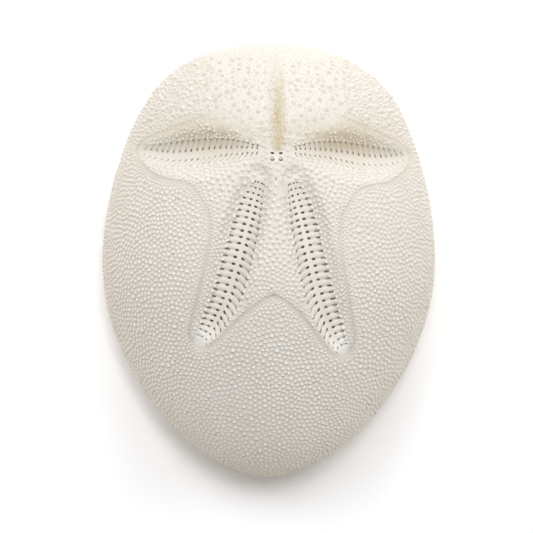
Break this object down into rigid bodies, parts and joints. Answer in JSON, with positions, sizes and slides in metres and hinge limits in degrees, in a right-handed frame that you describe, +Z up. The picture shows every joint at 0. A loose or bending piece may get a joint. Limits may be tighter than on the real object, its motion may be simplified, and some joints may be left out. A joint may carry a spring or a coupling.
{
  "type": "heart urchin shell",
  "caption": "Hollow, bleached test of a heart urchin: an egg-shaped shell with sunken petals on the crown, a mouth slot below and a vent behind.",
  "frame": {"origin": "on the floor, under the middle of the shell's length and width", "axes": "+Y towards the blunt front end, +X to the shell's right side seen from above with the front up, +Z up from the flat oral side to the crown with the petals"},
  "size_m": [0.0768, 0.1, 0.0501],
  "materials": {
    "calcite": "matte"
  },
  "bodies": {
    "root": {"test": "calcite"}
  },
  "joints": []
}
